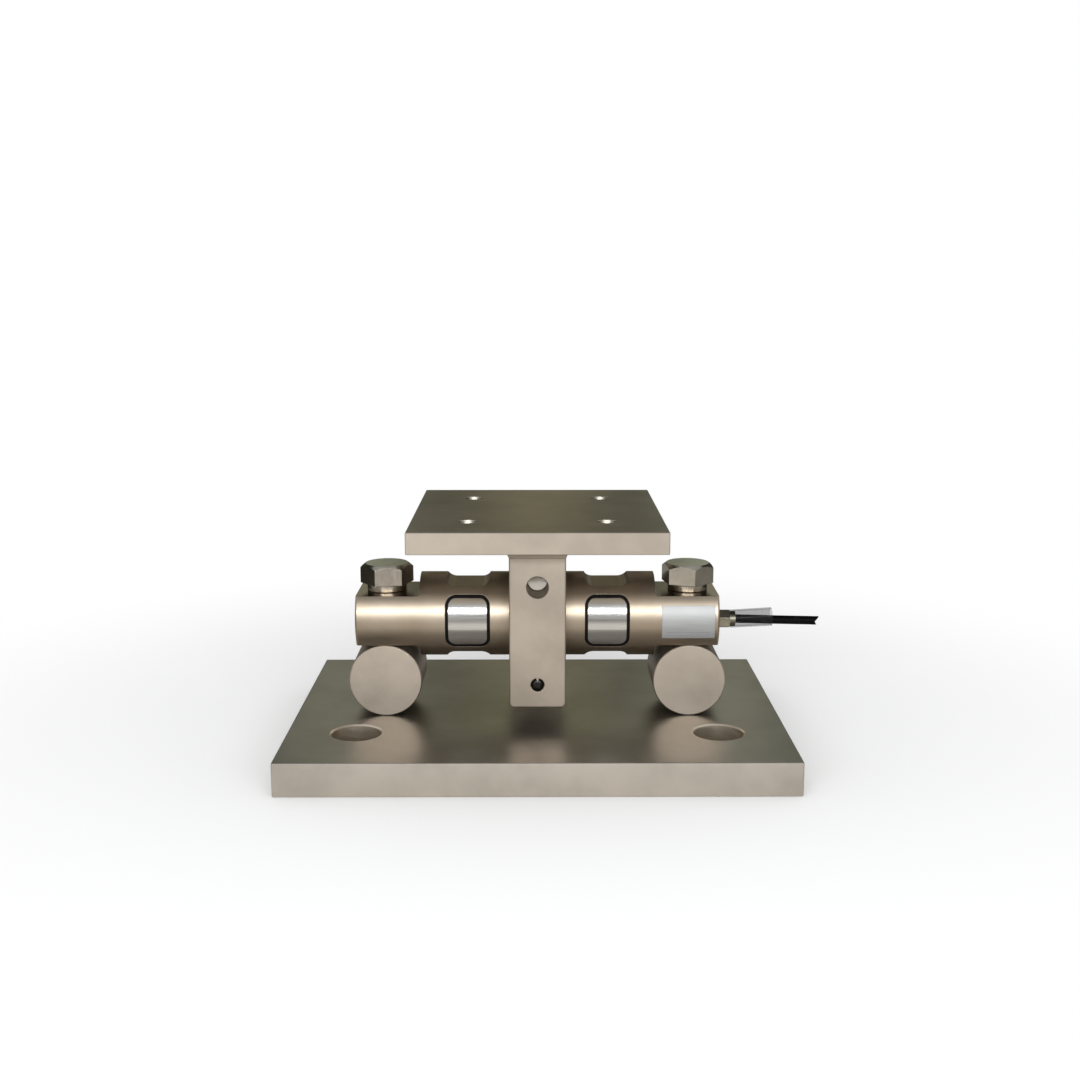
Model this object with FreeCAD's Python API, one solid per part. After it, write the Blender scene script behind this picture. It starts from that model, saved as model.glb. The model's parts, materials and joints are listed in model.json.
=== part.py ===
import FreeCAD, Part
import math
import os

Vec = FreeCAD.Vector

# All sizes are in millimetres. X runs along the beam, Y to the rear, Z up from the floor.

# Base plate with its floor anchor holes
base_length = 300.0
base_depth = 215.0
base_thickness = 20.0
anchor_edge_x = 41.5
anchor_edge_y = 53.5
anchor_hole_diameter = 30.0
anchor_hole_chamfer = 0.8
bolt_hole_chamfer = 0.8
plate_edge_round = 0.7

# Two cross-drilled rollers that carry the beam's ends
roller_diameter = 45.0
roller_length = 42.5
roller_edge_chamfer = 0.6

# Hex bolts that hold the beam down through the rollers
bolt_spacing = 188.0
bolt_diameter = 19.0
bolt_hole_clearance = 0.5
thread_clearance = 0.05
bolt_tip_cover = 5.0
bolt_tip_chamfer = 1.5
bolt_head_flats = 28.6
bolt_head_height = 12.8
bolt_crown_diameter = 26.3
bolt_crown_slope = 38.0
bolt_bearing_diameter = 27.0
bolt_bearing_height = 0.6
left_bolt_turn = 9.0
right_bolt_turn = 40.5
washer_diameter = 24.5
washer_thickness = 4.2
washer_edge_chamfer = 0.5
washer_clearance = 0.25
washer_split_width = 1.6
washer_split_turn = 125.0
washer_split_slope = 25.0

# Round beam of the load cell
beam_diameter = 52.5
beam_overhang = 17.5
beam_end_chamfer = 1.0
end_thickness = 31.0
seat_inner_reach = 21.5
seat_fillet = 1.5

# Gauge pockets in the beam, with the saddle reliefs above and below them
pocket_offset = 42.75
pocket_width = 27.5
pocket_corner = 6.5
flange_thickness = 4.0
relief_length = 26.8
relief_depth = 5.75
relief_fillet = 5.5
web_thickness = 6.0
seat_rise = 8.25
seat_width = 3.4
web_port_diameter = 3.0
web_port_inset = 3.0

# Pocket covers and the sealing compound round them
cover_wall = 1.2
cover_sink = 0.1
seal_width = 1.9
seal_sink = 0.35

# Strain gauges, bridge board and inner wires
gauge_size = 10.0
gauge_thickness = 0.15
board_length = 12.0
board_depth = 10.0
board_thickness = 1.2
wire_bore_diameter = 4.0
wire_bore_wall = 3.5
wire_bundle_diameter = 2.6
wire_lie = 0.05
wire_tail = 8.0

# Yoke that straddles the beam, with its load pin and keeper pin
yoke_width = 34.0
leg_thickness = 17.5
fork_gap = 1.25
roof_thickness = 25.5
leg_toe = 10.3
yoke_edge_round = 1.2
yoke_toe_round = 3.0
load_pin_diameter = 13.0
load_pin_end_inset = 0.25
load_pin_chamfer = 0.8
pin_press_clearance = 0.02
pin_running_clearance = 0.05
pin_hole_chamfer = 0.4
keeper_diameter = 8.0
keeper_end_round = 3.0
keeper_recess = 1.0
keeper_stake_width = 2.4
keeper_stake_reach = 2.4
keeper_stake_depth = 0.7
keeper_stake_sink = 0.15
keeper_lift_gap = 3.6

# Top plate with its tapped holes, and the weld under it
top_width = 150.0
top_depth = 160.0
top_thickness = 13.0
top_hole_edge_x = 34.0
top_hole_edge_y = 36.0
top_hole_diameter = 12.1
top_hole_chamfer = 1.2
weld_leg = 9.0
weld_hollow = 1.5

# Cable gland at the beam's right end, with its rubber bush and clear sleeve
gland_flats = 10.5
gland_hex_length = 7.0
gland_hex_chamfer = 0.5
gland_hex_turn = 12.0
gland_stub_diameter = 8.0
gland_stub_length = 7.0
gland_tail_diameter = 9.6
gland_tail_length = 3.5
gland_bush_diameter = 7.4
gland_bush_length = 8.0
gland_bush_sink = 0.4
cable_bore_clearance = 0.15
sleeve_length = 25.9
sleeve_wall = 0.6
sleeve_grip_clearance = 0.1
sleeve_stand_off = 0.3
sleeve_mouth_diameter = 11.4
sleeve_tilt = 3.0

# Cable, and the points that its centre line follows
cable_diameter = 5.3
cable_arc_share = 0.45
cable_route = [
    Vec(108.0, -15.5, 80.5),
    Vec(123.5, -15.5, 80.5),
    Vec(140.5, -15.5, 79.95),
    Vec(157.5, -15.5, 79.55),
    Vec(174.0, -15.5, 79.25),
]

# Bare name plate on the beam's front
label_length = 32.5
label_height = 21.0
label_thickness = 0.2
label_end_margin = 2.8

# How far a cutting body reaches past the face that it cuts, and how near a found edge has to lie
cut_margin = 2.0
edge_match = 0.01

# A hexagon's corners, and a right angle in degrees
hex_sides = 6
quarter_turn = 90.0

along_x = Vec(1, 0, 0)
along_y = Vec(0, 1, 0)
along_z = Vec(0, 0, 1)
signs = {"left": -1, "right": 1, "front": -1, "rear": 1}

# Places that follow from the sizes above
bolt_x = bolt_spacing / 2
bolt_hole_radius = bolt_diameter / 2 + bolt_hole_clearance
beam_radius = beam_diameter / 2
beam_end = bolt_x + beam_overhang
beam_z = base_thickness + roller_diameter + end_thickness / 2
beam_crown = beam_z + beam_radius
seat_top = beam_z + end_thickness / 2
shoulder_x = bolt_x - seat_inner_reach
relief_floor = beam_crown - relief_depth
pocket_height = 2 * (beam_radius - relief_depth - flange_thickness)
cover_seat = beam_radius - seat_rise
wire_y = -(bolt_hole_radius + wire_bore_wall + wire_bore_diameter / 2)
front_pocket_y = -(web_thickness / 2 + cover_seat) / 2
wire_drop = (wire_bore_diameter - wire_bundle_diameter) / 2 - wire_lie
fork_radius = beam_radius + fork_gap
yoke_half_depth = fork_radius + leg_thickness
keeper_z = beam_z - beam_radius - keeper_lift_gap - keeper_diameter / 2
yoke_bottom = keeper_z - keeper_diameter / 2 - leg_toe
yoke_top = beam_z + fork_radius + roof_thickness
gland_hex_end = beam_end + gland_hex_length
gland_tail_end = gland_hex_end + gland_tail_length


def box(low, high):
    size = high - low
    return Part.makeBox(size.x, size.y, size.z, low)


def chamfered_hole(start, axis, length, radius, chamfer):
    hole = Part.makeCylinder(radius, length, start, axis)
    return hole.fuse(Part.makeCone(radius + chamfer, radius, chamfer, start, axis))


def circle_edges(shape):
    return [edge for edge in shape.Edges if isinstance(edge.Curve, Part.Circle)]


def cross_edges(shape, x, z):
    place = Vec(x, 0, z)
    return [edge for edge in shape.Edges if edge.CenterOfMass.isEqual(place, edge_match)]


def hex_corner_radius(flats):
    return flats / 2 / math.cos(math.pi / hex_sides)


def hex_prism(flats, height, turn, base_centre, axis):
    corner_radius = hex_corner_radius(flats)
    first = math.radians(turn)
    angles = [first + math.tau * step / hex_sides for step in range(hex_sides + 1)]
    ring = [Vec(corner_radius * math.cos(a), corner_radius * math.sin(a), 0) for a in angles]
    prism = Part.Face(Part.makePolygon(ring)).extrude(along_z * height)
    prism.Placement = FreeCAD.Placement(base_centre, FreeCAD.Rotation(along_z, axis))
    return prism


def beam_cylinder(radius):
    return Part.makeCylinder(radius, 2 * beam_end, Vec(-beam_end, 0, beam_z), along_x)


def mirrored(shape, side, face):
    if side < 0:
        shape = shape.mirror(Vec(0, 0, 0), along_x)
    if face < 0:
        shape = shape.mirror(Vec(0, 0, 0), along_y)
    return shape


def plate(width, depth, bottom, thickness):
    block = box(Vec(-width / 2, -depth / 2, bottom), Vec(width / 2, depth / 2, bottom + thickness))
    return block.makeFillet(plate_edge_round, block.Edges)


def corner_points(reach_x, reach_y, z):
    return [Vec(sx * reach_x, sy * reach_y, z) for sx in (-1, 1) for sy in (-1, 1)]


def make_base_plate():
    block = plate(base_length, base_depth, 0, base_thickness)
    reach_x = base_length / 2 - anchor_edge_x
    reach_y = base_depth / 2 - anchor_edge_y
    for mouth in corner_points(reach_x, reach_y, base_thickness):
        radius = anchor_hole_diameter / 2
        block = block.cut(chamfered_hole(mouth, -along_z, base_thickness, radius, anchor_hole_chamfer))
    for side in (-1, 1):
        mouth = Vec(side * bolt_x, 0, base_thickness)
        radius = bolt_diameter / 2 + thread_clearance
        block = block.cut(chamfered_hole(mouth, -along_z, base_thickness, radius, bolt_hole_chamfer))
    return block


def make_roller(side):
    centre = Vec(side * bolt_x, 0, base_thickness + roller_diameter / 2)
    start = centre - along_y * (roller_length / 2)
    roller = Part.makeCylinder(roller_diameter / 2, roller_length, start, along_y)
    roller = roller.makeChamfer(roller_edge_chamfer, circle_edges(roller))
    drill_start = Vec(centre.x, 0, base_thickness - cut_margin)
    drill = Part.makeCylinder(bolt_hole_radius, roller_diameter + 2 * cut_margin, drill_start, along_z)
    return roller.cut(drill)


def make_bolt(side, turn):
    foot = Vec(side * bolt_x, 0, bolt_tip_cover)
    bearing_z = seat_top + washer_thickness
    shank = Part.makeCylinder(bolt_diameter / 2, bearing_z - bolt_tip_cover, foot, along_z)
    tip = [edge for edge in circle_edges(shank) if edge.CenterOfMass.z < base_thickness]
    shank = shank.makeChamfer(bolt_tip_chamfer, tip)
    bearing_start = Vec(foot.x, 0, bearing_z)
    bearing = Part.makeCylinder(bolt_bearing_diameter / 2, bolt_bearing_height, bearing_start, along_z)
    head_start = bearing_start + along_z * bolt_bearing_height
    head_rise = bolt_head_height - bolt_bearing_height
    head = hex_prism(bolt_head_flats, head_rise, turn, head_start, along_z)
    corner_radius = hex_corner_radius(bolt_head_flats)
    crown_radius = bolt_crown_diameter / 2
    slope_height = (corner_radius - crown_radius) * math.tan(math.radians(bolt_crown_slope))
    barrel_height = head_rise - slope_height
    barrel = Part.makeCylinder(corner_radius, barrel_height, head_start, along_z)
    slope_start = head_start + along_z * barrel_height
    slope = Part.makeCone(corner_radius, crown_radius, slope_height, slope_start, along_z)
    head = head.common(barrel.fuse(slope).removeSplitter())
    return shank.fuse([bearing, head]).removeSplitter()


def make_lock_washer(side):
    centre = Vec(side * bolt_x, 0, seat_top)
    ring = Part.makeCylinder(washer_diameter / 2, washer_thickness, centre, along_z)
    inner_radius = bolt_diameter / 2 + washer_clearance
    ring = ring.cut(Part.makeCylinder(inner_radius, washer_thickness, centre, along_z))
    ring = ring.makeChamfer(washer_edge_chamfer, circle_edges(ring))
    half_width = washer_split_width / 2
    saw = box(
        Vec(0, -half_width, -washer_thickness),
        Vec(washer_diameter, half_width, 2 * washer_thickness),
    )
    saw.rotate(Vec(0, 0, washer_thickness / 2), along_x, washer_split_slope)
    saw.rotate(Vec(0, 0, 0), along_z, washer_split_turn)
    saw.translate(centre)
    return ring.cut(saw)


def pocket_prism(width, height, corner, near, far):
    low = Vec(pocket_offset - width / 2, near, beam_z - height / 2)
    high = Vec(pocket_offset + width / 2, far, beam_z + height / 2)
    block = box(low, high)
    depth_edges = [edge for edge in block.Edges if edge.BoundBox.YLength > edge_match]
    return block.makeFillet(corner, depth_edges)


def seat_cutter():
    low = Vec(shoulder_x, -beam_diameter, seat_top)
    high = Vec(beam_end + cut_margin, beam_diameter, beam_crown + cut_margin)
    block = box(low, high)
    return block.makeFillet(seat_fillet, cross_edges(block, shoulder_x, seat_top))


def relief_cutter():
    inner = pocket_offset - relief_length / 2
    outer = pocket_offset + relief_length / 2
    top = beam_crown + relief_fillet
    block = box(Vec(inner, -beam_diameter, relief_floor), Vec(outer, beam_diameter, top))
    corners = cross_edges(block, inner, relief_floor) + cross_edges(block, outer, relief_floor)
    return block.makeFillet(relief_fillet, corners)


def pocket_cutter():
    mouth = pocket_prism(pocket_width, pocket_height, pocket_corner, cover_seat, beam_diameter)
    cavity = pocket_prism(
        pocket_width - 2 * seat_width,
        pocket_height - 2 * seat_width,
        pocket_corner - seat_width,
        web_thickness / 2,
        cover_seat + cut_margin,
    )
    return mouth.fuse(cavity)


def make_load_cell_body():
    beam = beam_cylinder(beam_radius)
    beam = beam.makeChamfer(beam_end_chamfer, circle_edges(beam))
    for cutter in (seat_cutter(), relief_cutter()):
        for side in (-1, 1):
            upper = mirrored(cutter, side, 1)
            lower = upper.mirror(Vec(0, 0, beam_z), along_z)
            beam = beam.cut([upper, lower])
    for side in (-1, 1):
        pockets = [mirrored(pocket_cutter(), side, face) for face in (-1, 1)]
        drill_start = Vec(side * bolt_x, 0, beam_z - beam_radius)
        bolt_drill = Part.makeCylinder(bolt_hole_radius, beam_diameter, drill_start, along_z)
        port_x = side * (pocket_offset - pocket_width / 2 + seat_width + web_port_inset)
        port_start = Vec(port_x, -web_thickness, beam_z)
        web_port = Part.makeCylinder(web_port_diameter / 2, 2 * web_thickness, port_start, along_y)
        beam = beam.cut(pockets + [bolt_drill, web_port])
    groove_radius = load_pin_diameter / 2 + pin_running_clearance
    groove_start = Vec(0, -beam_radius, beam_crown)
    groove = Part.makeCylinder(groove_radius, beam_diameter, groove_start, along_y)
    wire_radius = wire_bore_diameter / 2
    outlet_start = Vec(pocket_offset, wire_y, beam_z)
    outlet_bore = Part.makeCylinder(wire_radius, beam_end - pocket_offset, outlet_start, along_x)
    crossover_start = Vec(-pocket_offset, front_pocket_y, beam_z)
    crossover_bore = Part.makeCylinder(wire_radius, 2 * pocket_offset, crossover_start, along_x)
    port_radius = gland_stub_diameter / 2 + thread_clearance
    port_start = Vec(beam_end - gland_stub_length, wire_y, beam_z)
    gland_port = Part.makeCylinder(port_radius, gland_stub_length, port_start, along_x)
    return beam.cut([groove, outlet_bore, crossover_bore, gland_port])


def make_cover():
    width = pocket_width - 2 * seal_width
    height = pocket_height - 2 * seal_width
    corner = pocket_corner - seal_width
    skin_radius = beam_radius - cover_sink
    outside = pocket_prism(width, height, corner, cover_seat, beam_diameter)
    outside = outside.common(beam_cylinder(skin_radius))
    inside = pocket_prism(
        width - 2 * cover_wall,
        height - 2 * cover_wall,
        corner - cover_wall,
        cover_seat - cut_margin,
        beam_diameter,
    )
    inside = inside.common(beam_cylinder(skin_radius - cover_wall))
    return outside.cut(inside)


def make_seal():
    filled = pocket_prism(pocket_width, pocket_height, pocket_corner, cover_seat, beam_diameter)
    core = pocket_prism(
        pocket_width - 2 * seal_width,
        pocket_height - 2 * seal_width,
        pocket_corner - seal_width,
        cover_seat - cut_margin,
        beam_diameter + cut_margin,
    )
    return filled.cut(core).common(beam_cylinder(beam_radius - seal_sink))


def make_gauge():
    half = gauge_size / 2
    low = Vec(pocket_offset - half, web_thickness / 2, beam_z - half)
    high = Vec(pocket_offset + half, web_thickness / 2 + gauge_thickness, beam_z + half)
    return box(low, high)


def make_bridge_board():
    floor = beam_z - pocket_height / 2 + seat_width
    low = Vec(pocket_offset - board_length / 2, front_pocket_y - board_depth / 2, floor)
    return box(low, low + Vec(board_length, board_depth, board_thickness))


def make_crossover_wires():
    reach = pocket_offset - pocket_width / 2 + seat_width + wire_tail
    start = Vec(-reach, front_pocket_y, beam_z - wire_drop)
    return Part.makeCylinder(wire_bundle_diameter / 2, 2 * reach, start, along_x)


def make_output_wires():
    inner_end = pocket_offset + pocket_width / 2 - seat_width - wire_tail
    start = Vec(inner_end, wire_y, beam_z - wire_drop)
    length = cable_route[0].x - inner_end
    return Part.makeCylinder(wire_bundle_diameter / 2, length, start, along_x)


def keeper_stake():
    rim = keeper_z + keeper_diameter / 2
    root = rim + 2 * pin_hole_chamfer
    front = keeper_stake_sink - yoke_half_depth
    half_width = keeper_stake_width / 2
    tip = Vec(0, front, rim - keeper_stake_reach)
    outline = [tip, Vec(-half_width, front, root), Vec(half_width, front, root), tip]
    return Part.Face(Part.makePolygon(outline)).extrude(along_y * keeper_stake_depth)


def make_yoke():
    half_width = yoke_width / 2
    low = Vec(-half_width, -yoke_half_depth, yoke_bottom)
    block = box(low, Vec(half_width, yoke_half_depth, yoke_top))
    middles = [(edge, edge.CenterOfMass) for edge in block.Edges]
    low_edges = [(edge, middle) for edge, middle in middles if middle.z < yoke_bottom + cut_margin]
    toe_edges = [edge for edge, middle in low_edges if abs(middle.x) > cut_margin]
    block = block.makeFillet(yoke_toe_round, toe_edges)
    middles = [(edge, edge.CenterOfMass) for edge in block.Edges]
    face_edges = [(edge, middle) for edge, middle in middles if abs(middle.y) > yoke_half_depth - cut_margin]
    rim_edges = [edge for edge, middle in face_edges if middle.z < yoke_top - cut_margin]
    block = block.makeFillet(yoke_edge_round, rim_edges)
    bore_start = Vec(-half_width - cut_margin, 0, beam_z)
    bore = Part.makeCylinder(fork_radius, yoke_width + 2 * cut_margin, bore_start, along_x)
    slot = box(
        Vec(-half_width - cut_margin, -fork_radius, yoke_bottom - cut_margin),
        Vec(half_width + cut_margin, fork_radius, beam_z),
    )
    block = block.cut(bore.fuse(slot).removeSplitter())
    for diameter, height in ((load_pin_diameter, beam_crown), (keeper_diameter, keeper_z)):
        radius = diameter / 2 + pin_press_clearance
        mouth = Vec(0, -yoke_half_depth, height)
        front_hole = chamfered_hole(mouth, along_y, yoke_half_depth, radius, pin_hole_chamfer)
        block = block.cut(front_hole.fuse(mirrored(front_hole, 1, -1)).removeSplitter())
    stake = keeper_stake()
    return block.fuse([stake, mirrored(stake, 1, -1)]).removeSplitter()


def make_load_pin():
    half_length = beam_radius - load_pin_end_inset
    start = Vec(0, -half_length, beam_crown)
    pin = Part.makeCylinder(load_pin_diameter / 2, 2 * half_length, start, along_y)
    return pin.makeChamfer(load_pin_chamfer, circle_edges(pin))


def make_keeper_pin():
    half_length = yoke_half_depth - keeper_recess
    start = Vec(0, -half_length, keeper_z)
    pin = Part.makeCylinder(keeper_diameter / 2, 2 * half_length, start, along_y)
    return pin.makeFillet(keeper_end_round, circle_edges(pin))


def make_top_plate():
    block = plate(top_width, top_depth, yoke_top, top_thickness)
    reach_x = top_width / 2 - top_hole_edge_x
    reach_y = top_depth / 2 - top_hole_edge_y
    for mouth in corner_points(reach_x, reach_y, yoke_top):
        radius = top_hole_diameter / 2
        block = block.cut(chamfered_hole(mouth, along_z, top_thickness, radius, top_hole_chamfer))
    return block


def weld_profile(root, outward):
    toe_low = root - along_z * weld_leg
    toe_out = root + outward * weld_leg
    inward = (along_z - outward).normalize()
    middle = (toe_low + toe_out) / 2 + inward * weld_hollow
    face_edges = [
        Part.Arc(toe_low, middle, toe_out).toShape(),
        Part.LineSegment(toe_out, root).toShape(),
        Part.LineSegment(root, toe_low).toShape(),
    ]
    return Part.Face(Part.Wire(face_edges))


def make_yoke_weld():
    half_width = yoke_width / 2
    corner = Vec(half_width, yoke_half_depth, yoke_top)
    side_run = weld_profile(corner, along_x).extrude(along_y * (-2 * yoke_half_depth))
    end_run = weld_profile(corner, along_y).extrude(along_x * (-yoke_width))
    turn = weld_profile(corner, along_x).revolve(corner, along_z, quarter_turn)
    pieces = [side_run, mirrored(side_run, -1, 1), end_run, mirrored(end_run, 1, -1)]
    pieces += [mirrored(turn, side, face) for side in (-1, 1) for face in (-1, 1)]
    return pieces[0].fuse(pieces[1:]).removeSplitter()


def gland_axis(x):
    return Vec(x, wire_y, beam_z)


def make_gland_body():
    hexagon = hex_prism(gland_flats, gland_hex_length, gland_hex_turn, gland_axis(beam_end), along_x)
    corner_radius = hex_corner_radius(gland_flats)
    rim_radius = corner_radius - gland_hex_chamfer
    rim_start = gland_axis(gland_hex_end - gland_hex_chamfer)
    rim = Part.makeCone(corner_radius, rim_radius, gland_hex_chamfer, rim_start, along_x)
    barrel_length = gland_hex_length - gland_hex_chamfer
    barrel = Part.makeCylinder(corner_radius, barrel_length, gland_axis(beam_end), along_x)
    hexagon = hexagon.common(barrel.fuse(rim).removeSplitter())
    stub_start = gland_axis(beam_end - gland_stub_length)
    stub = Part.makeCylinder(gland_stub_diameter / 2, gland_stub_length, stub_start, along_x)
    tail_start = gland_axis(gland_hex_end)
    tail = Part.makeCylinder(gland_tail_diameter / 2, gland_tail_length, tail_start, along_x)
    body = hexagon.fuse([stub, tail]).removeSplitter()
    bore_radius = cable_diameter / 2 + cable_bore_clearance
    bore = Part.makeCylinder(bore_radius, gland_tail_end - stub_start.x, stub_start, along_x)
    seat_start = gland_axis(gland_tail_end - gland_bush_sink - gland_bush_length)
    seat_length = gland_bush_length + gland_bush_sink
    bush_seat = Part.makeCylinder(gland_bush_diameter / 2, seat_length, seat_start, along_x)
    return body.cut([bore, bush_seat])


def make_gland_bush():
    start = gland_axis(gland_tail_end - gland_bush_sink - gland_bush_length)
    bush = Part.makeCylinder(gland_bush_diameter / 2, gland_bush_length, start, along_x)
    bore_radius = cable_diameter / 2 + cable_bore_clearance
    return bush.cut(Part.makeCylinder(bore_radius, gland_bush_length, start, along_x))


def make_clear_sleeve():
    start = gland_axis(gland_hex_end + sleeve_stand_off)
    grip_radius = gland_tail_diameter / 2 + sleeve_grip_clearance
    mouth_radius = sleeve_mouth_diameter / 2
    outside = Part.makeCone(grip_radius + sleeve_wall, mouth_radius, sleeve_length, start, along_x)
    inside = Part.makeCone(grip_radius, mouth_radius - sleeve_wall, sleeve_length, start, along_x)
    sleeve = outside.cut(inside)
    sleeve.rotate(gland_axis(gland_hex_end + gland_tail_length / 2), along_y, -sleeve_tilt)
    return sleeve


def tangent_path(points, share):
    edges = []
    radii = []
    last = points[0]
    for before, corner, after in zip(points, points[1:], points[2:]):
        back = (before - corner).normalize()
        ahead = (after - corner).normalize()
        reach = share * min((before - corner).Length, (after - corner).Length)
        half_turn = (math.pi - back.getAngle(ahead)) / 2
        radius = reach / math.tan(half_turn)
        inward = (back + ahead).normalize()
        middle = corner + inward * (radius / math.cos(half_turn) - radius)
        arc_start = corner + back * reach
        arc_end = corner + ahead * reach
        edges.append(Part.LineSegment(last, arc_start).toShape())
        edges.append(Part.Arc(arc_start, middle, arc_end).toShape())
        radii.append(radius)
        last = arc_end
    edges.append(Part.LineSegment(last, points[-1]).toShape())
    return Part.Wire(edges), radii


def make_cable():
    path, radii = tangent_path(cable_route, cable_arc_share)
    direction = cable_route[1] - cable_route[0]
    ring = Part.Circle(cable_route[0], direction, cable_diameter / 2).toShape()
    cable = path.makePipeShell([Part.Wire(ring)], True, True)
    section = math.pi * cable_diameter ** 2 / 4
    print("cable arc radii", [round(radius, 1) for radius in radii])
    print("cable length", round(path.Length, 2), "volume ratio", cable.Volume / (section * path.Length))
    return cable


def make_name_plate():
    shell = beam_cylinder(beam_radius + label_thickness).cut(beam_cylinder(beam_radius))
    right = beam_end - label_end_margin
    half_angle = label_height / 2 / beam_radius
    half_rise = beam_radius * math.sin(half_angle)
    low = Vec(right - label_length, -beam_diameter, beam_z - half_rise)
    return shell.common(box(low, Vec(right, 0, beam_z + half_rise)))


parts = {
    "base_plate": make_base_plate(),
    "left_roller": make_roller(signs["left"]),
    "right_roller": make_roller(signs["right"]),
    "left_bolt": make_bolt(signs["left"], left_bolt_turn),
    "right_bolt": make_bolt(signs["right"], right_bolt_turn),
    "left_lock_washer": make_lock_washer(signs["left"]),
    "right_lock_washer": make_lock_washer(signs["right"]),
    "load_cell_body": make_load_cell_body(),
    "bridge_board": make_bridge_board(),
    "crossover_wires": make_crossover_wires(),
    "output_wires": make_output_wires(),
    "yoke": make_yoke(),
    "load_pin": make_load_pin(),
    "keeper_pin": make_keeper_pin(),
    "top_plate": make_top_plate(),
    "yoke_weld": make_yoke_weld(),
    "gland_body": make_gland_body(),
    "gland_bush": make_gland_bush(),
    "clear_sleeve": make_clear_sleeve(),
    "cable": make_cable(),
    "name_plate": make_name_plate(),
}
for side in ("left", "right"):
    for face in ("front", "rear"):
        place = (signs[side], signs[face])
        parts[f"{side}_{face}_cover"] = mirrored(make_cover(), *place)
        parts[f"{side}_{face}_seal"] = mirrored(make_seal(), *place)
        parts[f"{side}_{face}_gauge"] = mirrored(make_gauge(), *place)

os.makedirs("parts", exist_ok=True)
for node, shape in parts.items():
    shape.exportStep(f"parts/{node}.step")
    print(node, "solids", len(shape.Solids), "valid", shape.isValid(), "volume", round(shape.Volume, 1))
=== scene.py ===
import bpy
import bmesh
import json
import math
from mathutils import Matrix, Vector


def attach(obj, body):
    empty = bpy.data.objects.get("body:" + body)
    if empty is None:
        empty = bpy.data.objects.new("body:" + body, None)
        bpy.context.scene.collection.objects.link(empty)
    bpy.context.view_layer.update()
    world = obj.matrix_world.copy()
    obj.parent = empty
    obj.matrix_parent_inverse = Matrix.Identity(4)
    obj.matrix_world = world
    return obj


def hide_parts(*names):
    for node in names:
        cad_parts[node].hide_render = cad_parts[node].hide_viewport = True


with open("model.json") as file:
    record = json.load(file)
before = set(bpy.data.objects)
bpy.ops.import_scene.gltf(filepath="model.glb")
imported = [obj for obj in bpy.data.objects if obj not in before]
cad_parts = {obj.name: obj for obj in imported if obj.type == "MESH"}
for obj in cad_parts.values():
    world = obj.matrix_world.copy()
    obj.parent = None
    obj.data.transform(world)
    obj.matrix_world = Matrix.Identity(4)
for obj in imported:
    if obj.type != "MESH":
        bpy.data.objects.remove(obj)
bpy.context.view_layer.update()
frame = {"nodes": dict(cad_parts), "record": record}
nodes = frame["nodes"]
print("frame loaded:", len(nodes), "nodes")


class Signal:
    # one socket of a material; arithmetic on it adds Math nodes
    def __init__(self, finish, socket):
        self.finish = finish
        self.socket = socket

    def combine(self, operation, first, second):
        return self.finish.node("ShaderNodeMath", {"operation": operation}, {0: first, 1: second})

    def __add__(self, other):
        return self.combine("ADD", self, other)

    def __radd__(self, other):
        return self.combine("ADD", other, self)

    def __sub__(self, other):
        return self.combine("SUBTRACT", self, other)

    def __rsub__(self, other):
        return self.combine("SUBTRACT", other, self)

    def __mul__(self, other):
        return self.combine("MULTIPLY", self, other)

    def __rmul__(self, other):
        return self.combine("MULTIPLY", other, self)

    def __truediv__(self, other):
        return self.combine("DIVIDE", self, other)

    def __pow__(self, other):
        return self.combine("POWER", self, other)

    def __gt__(self, other):
        return self.combine("GREATER_THAN", self, other)

    def atLeast(self, other):
        return self.combine("MAXIMUM", self, other)

    def size(self):
        return self.finish.node("ShaderNodeMath", {"operation": "ABSOLUTE"}, {0: self})

    def wave(self):
        return self.finish.node("ShaderNodeMath", {"operation": "SINE"}, {0: self})


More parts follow.
